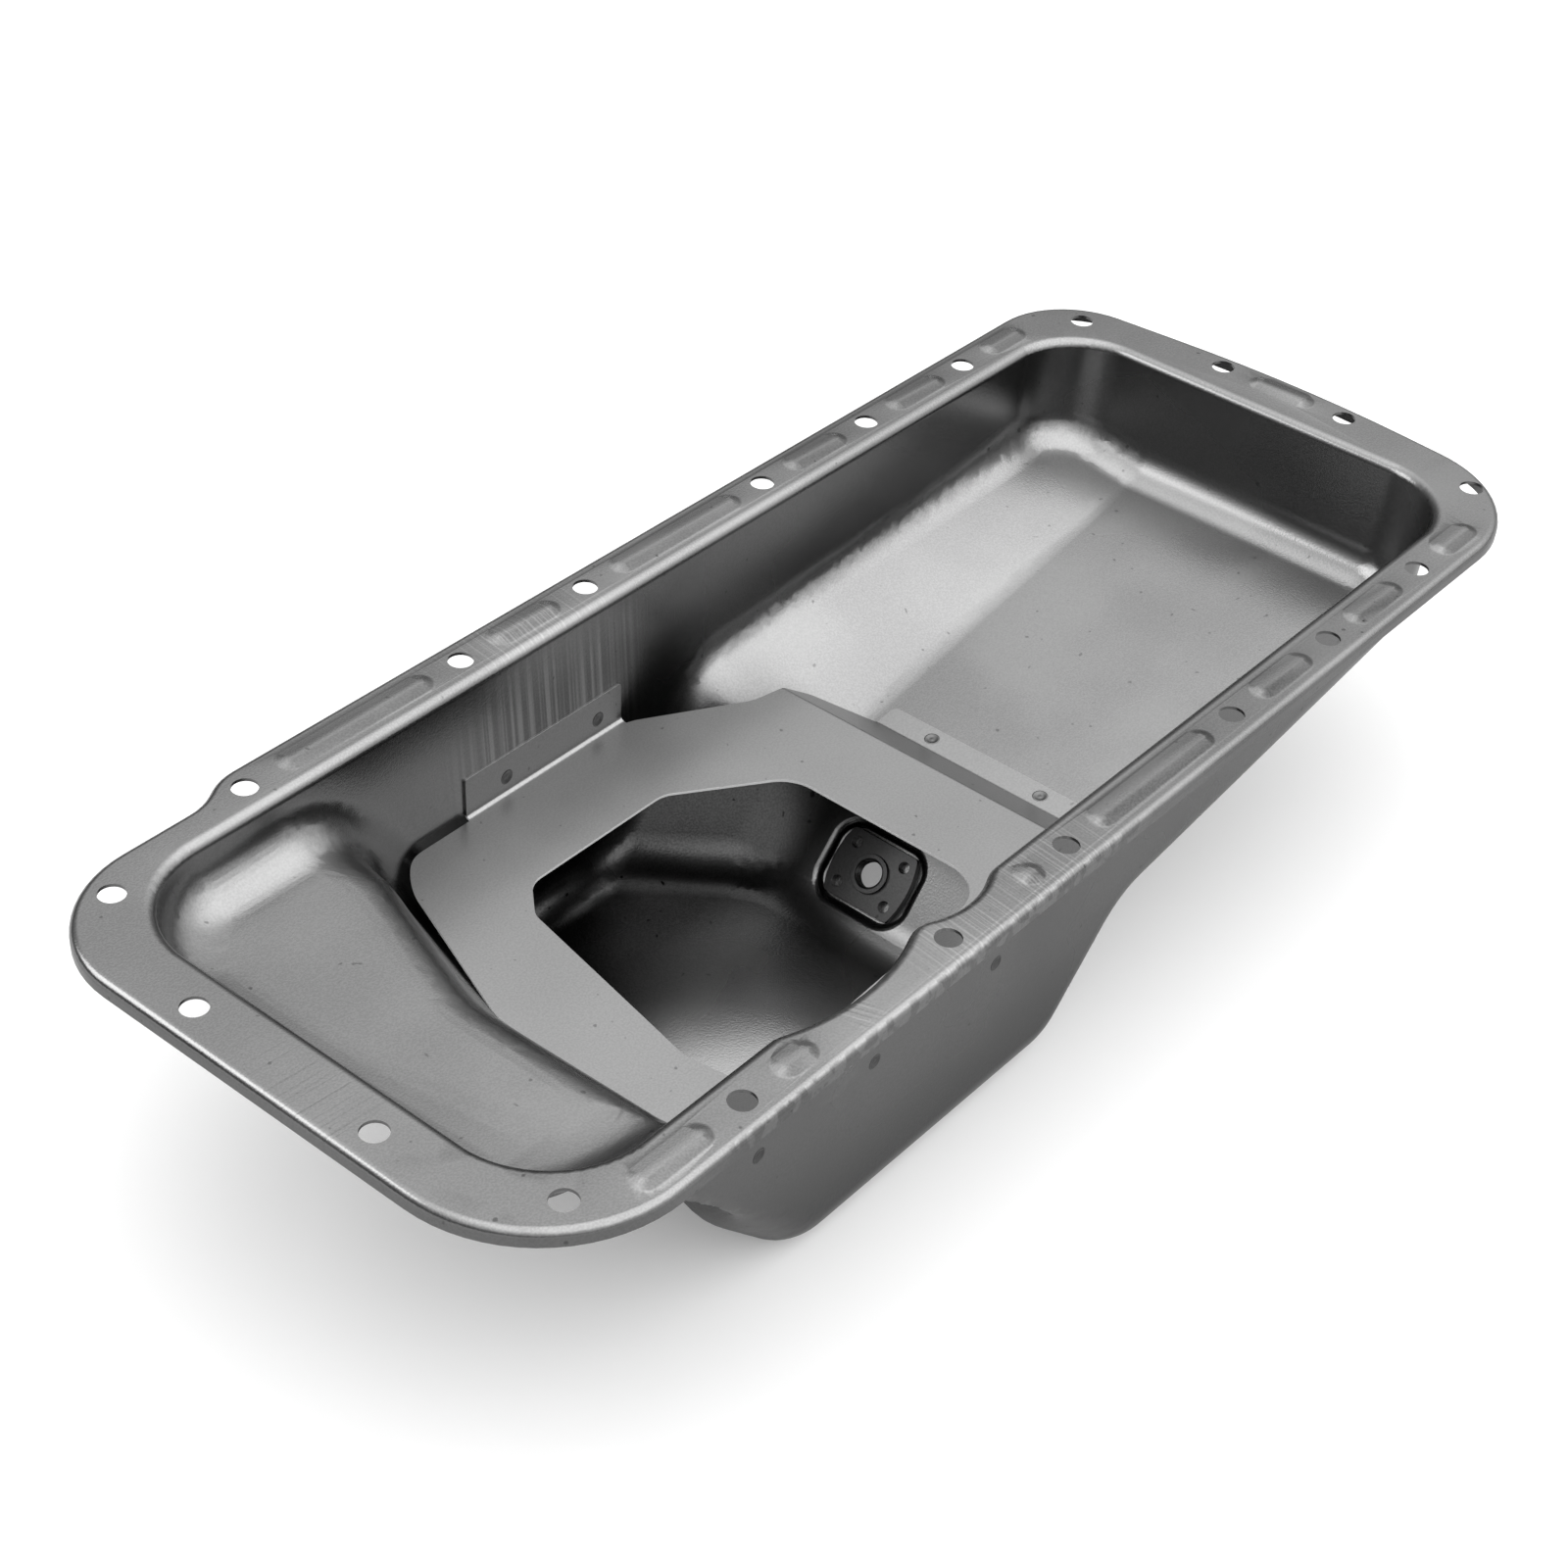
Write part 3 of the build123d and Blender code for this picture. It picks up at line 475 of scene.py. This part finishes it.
def near_side_shift(points):
    """How far the near side of the sump and its rolled edge move along X, in metres.

    With d the depth below the gasket face in mm, the move is 9 exp((23 - d) / 14), which stays 9
    above depth 23 and fades out over the left corner, plus 0.4 g(y), faded out between depths 31
    and 95. g is a ramp that starts to grow at y = 2 and gains 1 for each mm to the right, rounded
    over 8 mm. All of it is eased to nothing above the shelf, at the right wall, at the near wall
    and past the side itself.
    """
    x, y, z = points.T / MM
    depth = GASKET_FACE / MM - z
    edge = 9.0 * np.exp((23.0 - np.maximum(depth, 23.0)) / 14.0) * (1.0 - smoothstep(62.0, 92.0, y))
    ramp = 0.4 * (np.hypot(2.0 - y, 8.0) + 2.0 - y) / 2.0
    side = ramp * (1.0 - smoothstep(31.0, 95.0, depth))
    inside = smoothstep(6.0, 22.0, depth) * smoothstep(-96.2, -88.0, y)
    along = smoothstep(-255.0, -242.0, x) * (1.0 - smoothstep(-170.0, -140.0, x))
    return (edge + side) * inside * along * MM


def slide_along(shape, shift):
    """Moves each vertex along X by its own distance."""
    for vertex, distance in zip(shape.verts, shift):
        vertex.co.x += distance


def draw_near_side(shape, longest=5.0 * MM, passes=4):
    """Bends the near side of the sump to the line that it has under the tray's edge.

    Its long edges are halved first, so that its triangles are small enough to bend.
    """
    low = (-262.0 * MM, -97.0 * MM, 25.0 * MM)
    high = (-135.0 * MM, 95.0 * MM, 117.0 * MM)
    for _ in range(passes):
        edges = []
        for edge in shape.edges:
            middle = (edge.verts[0].co + edge.verts[1].co) / 2
            inside = all(least < place < most for least, place, most in zip(low, middle, high))
            if inside and edge.calc_length() > longest:
                edges.append(edge)
        bmesh.ops.subdivide_edges(shape, edges=edges, cuts=1)
        bmesh.ops.triangulate(shape, faces=[face for face in shape.faces if len(face.verts) > 3])
    slide_along(shape, near_side_shift(np.array([tuple(vertex.co) for vertex in shape.verts])))


def trim_tray_corner(shape):
    """Draws the tray's near left corner back from the near side of the sump.

    The move along X is 0.13 for each mm to the left of y = 36, eased to nothing from x = -158 to
    x = -128, before the opening.
    """
    x, y, _ = np.array([tuple(vertex.co) for vertex in shape.verts]).T / MM
    shift = 0.13 * np.maximum(y - 36.0, 0.0) * (1.0 - smoothstep(-158.0, -128.0, x))
    slide_along(shape, shift * MM)


def smooth_copy(node, name, reshape=None, edge=0.0):
    """Merged copy of a CAD node's loose triangles, shaded smooth, with its cut edges broken."""
    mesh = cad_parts[node].data.copy()
    mesh.attributes.remove(mesh.attributes["custom_normal"])
    piece = bpy.data.objects.new(name, mesh)
    bpy.context.collection.objects.link(piece)
    shape = bmesh.new()
    shape.from_mesh(mesh)
    bmesh.ops.remove_doubles(shape, verts=shape.verts, dist=MERGE)
    if reshape:
        reshape(shape)
    if edge:
        bmesh.ops.dissolve_limit(shape, angle_limit=FLAT_ANGLE, verts=shape.verts, edges=shape.edges)
        bevel = piece.modifiers.new("Broken Edges", "BEVEL")
        bevel.width = edge
        bevel.segments = 2
        bevel.limit_method = "ANGLE"
        bevel.angle_limit = CUT_ANGLE
    shape.to_mesh(mesh)
    shape.free()
    mesh.shade_smooth()
    mesh.set_sharp_from_angle(angle=SHARP_ANGLE)
    weighted = piece.modifiers.new("Weighted", "WEIGHTED_NORMAL")
    weighted.keep_sharp = True
    weighted.weight = 80
    return piece


class OilPanLook(bpy.types.PropertyGroup):
    """Finish of the steel."""

    shell_tone: bpy.props.FloatProperty(
        name="Shell Tone", description="Grey of the drawn shell", default=0.32, min=0.0, max=1.0
    )
    tray_tone: bpy.props.FloatProperty(
        name="Tray Tone", description="Grey of the tray", default=0.38, min=0.0, max=1.0
    )
    plate_tone: bpy.props.FloatProperty(
        name="Plate Tone", description="Grey of the nut plate", default=0.16, min=0.0, max=1.0
    )
    weld_tone: bpy.props.FloatProperty(
        name="Weld Tone", description="Grey of the spot welds", default=0.17, min=0.0, max=1.0
    )


class OilPanDrain(bpy.types.PropertyGroup):
    """Thread of the drain nut plate."""

    radius: bpy.props.FloatProperty(
        name="Radius", description="Radius at the roots", default=5.95 * MM, unit="LENGTH"
    )
    depth: bpy.props.FloatProperty(
        name="Depth", description="Depth from crest to root", default=0.75 * MM, unit="LENGTH"
    )
    pitch: bpy.props.FloatProperty(
        name="Pitch", description="Distance between turns", default=1.5 * MM, unit="LENGTH"
    )
    place: bpy.props.FloatVectorProperty(
        name="Place",
        description="Middle of the bore on the side of the sump",
        default=(18.577 * MM, 3.0 * MM, 18.0 * MM),
        subtype="XYZ",
        unit="LENGTH",
    )
    start: bpy.props.FloatProperty(
        name="Start", description="Start of the thread from that place", default=-4.65 * MM, unit="LENGTH"
    )
    length: bpy.props.FloatProperty(
        name="Length", description="Length of the thread", default=5.5 * MM, unit="LENGTH"
    )


class OilPanStage(bpy.types.PropertyGroup):
    """Floor, light and camera."""

    floor_size: bpy.props.FloatProperty(
        name="Floor Size", description="Side of the square floor", default=14.0, unit="LENGTH"
    )
    room_strength: bpy.props.FloatProperty(
        name="Room Strength", description="Strength of the light from all around", default=2.25, min=0.0
    )
    lamp_power: bpy.props.FloatProperty(
        name="Lamp Power", description="Power of the soft lamp", default=8.0, min=0.0, unit="POWER"
    )
    lens: bpy.props.FloatProperty(
        name="Lens", description="Focal length on a 36 mm sensor", default=66.794, unit="CAMERA"
    )
    camera_place: bpy.props.FloatVectorProperty(
        name="Camera Place",
        description="Where the camera stands",
        default=(-0.68925, -0.4957, 0.7308),
        subtype="XYZ",
        unit="LENGTH",
    )
    camera_right: bpy.props.FloatVectorProperty(
        name="Camera Right",
        description="Direction of the right side of the picture",
        default=(0.6402, -0.7663, 0.0534),
        subtype="XYZ",
    )
    camera_ahead: bpy.props.FloatVectorProperty(
        name="Camera Ahead",
        description="Direction in which the camera looks",
        default=(0.6266, 0.4808, -0.6133),
        subtype="XYZ",
    )


class OILPAN_OT_shell(bpy.types.Operator):
    """Skin of the drawn shell"""

    bl_idname = "oilpan.shell"
    bl_label = "Add Shell"

    def execute(self, context):
        look = context.scene.oil_pan_look
        skin = smooth_copy("oil_pan_shell", "pan_shell_skin", draw_near_side)
        marks = (
            (end_flange_marks, -0.18, -1.0),
            (rail_marks, 0.32, 0.8),
            (wall_marks, 0.6, 0.0),
            # painted shade on the middle of the left wall
            (painted_wall_shade, -0.45, 0.0),
            (lip_scuffs, 0.16, 0.0),
            (press_wrinkles, 0.05, 3.0),
            (stains, -0.18, 0.0),
            # painted reflection and shade inside the sump
            (painted_sump_light, 1.0, 0.0),
            # painted shade along the right rail
            (painted_rail_shade, -0.26, 0.0),
            # painted highlight and shade on the beads
            (painted_bead_light, 1.0, 0.0),
        )
        dress(skin, steel("Drawn Steel", look.shell_tone, 0.26, 0.08, marks))
        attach(skin, "root")
        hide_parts("oil_pan_shell")
        return {"FINISHED"}


class OILPAN_OT_tray(bpy.types.Operator):
    """Skin of the windage tray"""

    bl_idname = "oilpan.tray"
    bl_label = "Add Tray"

    def execute(self, context):
        look = context.scene.oil_pan_look
        skin = smooth_copy("windage_tray", "windage_tray_skin", trim_tray_corner, CUT_EDGE)
        # the cut edges are bare metal with a painted highlight
        marks = ((cut_edges_painted_bright, 2.8, 0.0),)
        dress(skin, steel("Rolled Steel", look.tray_tone, 0.34, 0.03, marks, cut_edges_painted_bright))
        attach(skin, "root")
        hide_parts("windage_tray")
        return {"FINISHED"}


class OILPAN_OT_plate(bpy.types.Operator):
    """Skin of the drain nut plate"""

    bl_idname = "oilpan.plate"
    bl_label = "Add Nut Plate"

    def execute(self, context):
        look = context.scene.oil_pan_look
        skin = smooth_copy("drain_nut_plate", "drain_nut_plate_skin", edge=CUT_EDGE)
        dress(skin, steel("Plate Steel", look.plate_tone, 0.35, 0.1))
        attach(skin, "root")
        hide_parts("drain_nut_plate")
        return {"FINISHED"}


class OILPAN_OT_thread(bpy.types.Operator):
    """Thread in the bore of the drain nut plate"""

    bl_idname = "oilpan.thread"
    bl_label = "Add Drain Thread"

    def execute(self, context):
        look = context.scene.oil_pan_look
        drain = context.scene.oil_pan_drain
        ring = thread_points(drain.radius, drain.depth, drain.pitch, drain.length)
        rows, columns, _ = ring.shape
        start = Vector(drain.place) + drain.start * Vector(DRAIN_INWARD)
        ring = set_on(ring, start, DRAIN_INWARD, (0.0, 1.0, 0.0))
        thread = surface("drain_thread", ring, grid_quads(rows, columns, around=True, across=True))
        dress(thread, steel("Thread Steel", look.plate_tone, 0.3, 0.1))
        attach(thread, "root")
        return {"FINISHED"}


class OILPAN_OT_welds(bpy.types.Operator):
    """Rings of the spot welds"""

    bl_idname = "oilpan.welds"
    bl_label = "Add Spot Welds"

    def execute(self, context):
        look = context.scene.oil_pan_look
        disc = weld_points()
        rows, columns, _ = disc.shape
        points = np.stack([set_on(disc, origin, normal) for origin, normal in weld_places()])
        starts = rows * columns * np.arange(len(points))
        quads = [grid_quads(rows, columns, start, around=True) for start in starts]
        welds = surface("spot_welds", points, np.concatenate(quads))
        dress(welds, steel("Weld Steel", look.weld_tone, 0.36, 0.12))
        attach(welds, "root")
        return {"FINISHED"}


def room_light(world, strength):
    """Room that is brightest overhead and falls off towards the horizon, plain white to the camera."""
    brightest = Vector((0.1, -0.35, 1.0)).normalized()
    stops = ((0.0, 0.05), (0.3, 0.17), (0.475, 0.44), (0.62, 0.47), (0.84, 0.95), (1.0, 0.95))
    tree = world.node_tree
    back = tree.nodes["Background"]
    back.inputs["Strength"].default_value = strength
    place = tree.nodes.new("ShaderNodeTexCoord")
    towards = tree.nodes.new("ShaderNodeVectorMath")
    towards.operation = "DOT_PRODUCT"
    towards.inputs[1].default_value = brightest
    levels = tree.nodes.new("ShaderNodeValToRGB")
    while len(levels.color_ramp.elements) < len(stops):
        levels.color_ramp.elements.new(0.5)
    for element, (position, level) in zip(levels.color_ramp.elements, stops):
        element.position = position
        element.color = grey(level)
    white = tree.nodes.new("ShaderNodeBackground")
    white.inputs["Color"].default_value = grey(1.0)
    path = tree.nodes.new("ShaderNodeLightPath")
    mix = tree.nodes.new("ShaderNodeMixShader")
    tree.links.new(place.outputs["Generated"], towards.inputs[0])
    tree.links.new(towards.outputs["Value"], levels.inputs["Fac"])
    tree.links.new(levels.outputs["Color"], back.inputs["Color"])
    tree.links.new(path.outputs["Is Camera Ray"], mix.inputs["Fac"])
    tree.links.new(back.outputs["Background"], mix.inputs[1])
    tree.links.new(white.outputs["Background"], mix.inputs[2])
    tree.links.new(mix.outputs["Shader"], tree.nodes["World Output"].inputs["Surface"])


def soft_lamp(power, place=(-0.9, 1.2, 1.2), side=1.0):
    """Square lamp beyond the near end of the left rail, turned to the pan."""
    lamp = bpy.data.lights.new("left_softbox", "AREA")
    lamp.shape = "SQUARE"
    lamp.size = side
    lamp.energy = power
    holder = bpy.data.objects.new("left_softbox", lamp)
    bpy.context.collection.objects.link(holder)
    holder.location = place
    holder.rotation_mode = "QUATERNION"
    holder.rotation_quaternion = (-Vector(place)).to_track_quat("-Z", "Y")


def floor_material():
    """Pale floor that glows a little for the camera and is darker in the steel's reflections."""
    sheet = NodeSheet("Studio Floor")
    pale = sheet.add("ShaderNodeBsdfDiffuse", {"Color": grey(0.84)})
    dim = sheet.add("ShaderNodeBsdfDiffuse", {"Color": grey(0.55)})
    glow = sheet.add("ShaderNodeEmission", {"Color": grey(1.0), "Strength": 0.16})
    path = sheet.add("ShaderNodeLightPath")
    seen = sheet.add("ShaderNodeAddShader")
    sheet.join(pale.outputs["BSDF"], seen.inputs[0])
    sheet.join(glow.outputs["Emission"], seen.inputs[1])
    mix = sheet.add("ShaderNodeMixShader")
    sheet.join(path.outputs["Is Camera Ray"], mix.inputs["Fac"])
    sheet.join(dim.outputs["BSDF"], mix.inputs[1])
    sheet.join(seen.outputs["Shader"], mix.inputs[2])
    sheet.join(mix.outputs["Shader"], sheet.output.inputs["Surface"])
    return sheet.material


def photo_camera(stage):
    """Camera at the photograph's place and angle."""
    lens = bpy.data.cameras.new("photo_camera")
    lens.lens = stage.lens
    lens.sensor_width = 36.0
    lens.clip_start = 0.01
    lens.clip_end = 100.0
    camera = bpy.data.objects.new("photo_camera", lens)
    bpy.context.collection.objects.link(camera)
    ahead = stage.camera_ahead.normalized()
    up = stage.camera_right.normalized().cross(ahead).normalized()
    right = ahead.cross(up)
    turn = Matrix((right, up, -ahead)).transposed()
    camera.matrix_world = Matrix.Translation(stage.camera_place) @ turn.to_4x4()
    return camera


class OILPAN_OT_stage(bpy.types.Operator):
    """Pale floor, soft light and the camera"""

    bl_idname = "oilpan.stage"
    bl_label = "Add Stage"

    def execute(self, context):
        stage = context.scene.oil_pan_stage
        side = np.linspace(-0.5, 0.5, 2) * stage.floor_size
        across, along = np.meshgrid(side, side)
        corners = np.stack([across, along, 0 * across], axis=-1)
        floor = surface("studio_floor", corners, grid_quads(2, 2))
        dress(floor, floor_material())
        world = bpy.data.worlds.new("Studio")
        context.scene.world = world
        world.use_nodes = True
        room_light(world, stage.room_strength)
        soft_lamp(stage.lamp_power)
        context.scene.camera = photo_camera(stage)
        context.scene.view_settings.view_transform = "Standard"
        return {"FINISHED"}


class OILPAN_PT_panel(bpy.types.Panel):
    """Sidebar panel that lists the pan's settings and operators"""

    bl_idname = "OILPAN_PT_panel"
    bl_label = "Oil Pan"
    bl_space_type = "VIEW_3D"
    bl_region_type = "UI"
    bl_category = "Oil Pan"

    def draw(self, context):
        column = self.layout.column()
        for name in SETTINGS:
            group = getattr(context.scene, name)
            for key in group.bl_rna.properties.keys():
                if key not in {"rna_type", "name"}:
                    column.prop(group, key)
        for operator in OPERATORS:
            column.operator(operator.bl_idname)


SETTINGS = {
    "oil_pan_look": OilPanLook,
    "oil_pan_drain": OilPanDrain,
    "oil_pan_stage": OilPanStage,
}
OPERATORS = (
    OILPAN_OT_stage,
    OILPAN_OT_shell,
    OILPAN_OT_tray,
    OILPAN_OT_plate,
    OILPAN_OT_thread,
    OILPAN_OT_welds,
)
CLASSES = (*SETTINGS.values(), *OPERATORS, OILPAN_PT_panel)


def register():
    """Registers the classes and hangs the settings on the scene."""
    for item in CLASSES:
        bpy.utils.register_class(item)
    for name, group in SETTINGS.items():
        setattr(bpy.types.Scene, name, bpy.props.PointerProperty(type=group))


def unregister():
    """Takes the settings and the classes away again."""
    for name in SETTINGS:
        delattr(bpy.types.Scene, name)
    for item in reversed(CLASSES):
        bpy.utils.unregister_class(item)


def main():
    """Builds the stage and every piece."""
    register()
    bpy.ops.oilpan.stage()
    bpy.ops.oilpan.shell()
    bpy.ops.oilpan.tray()
    bpy.ops.oilpan.plate()
    bpy.ops.oilpan.thread()
    bpy.ops.oilpan.welds()


if __name__ == "__main__":
    main()
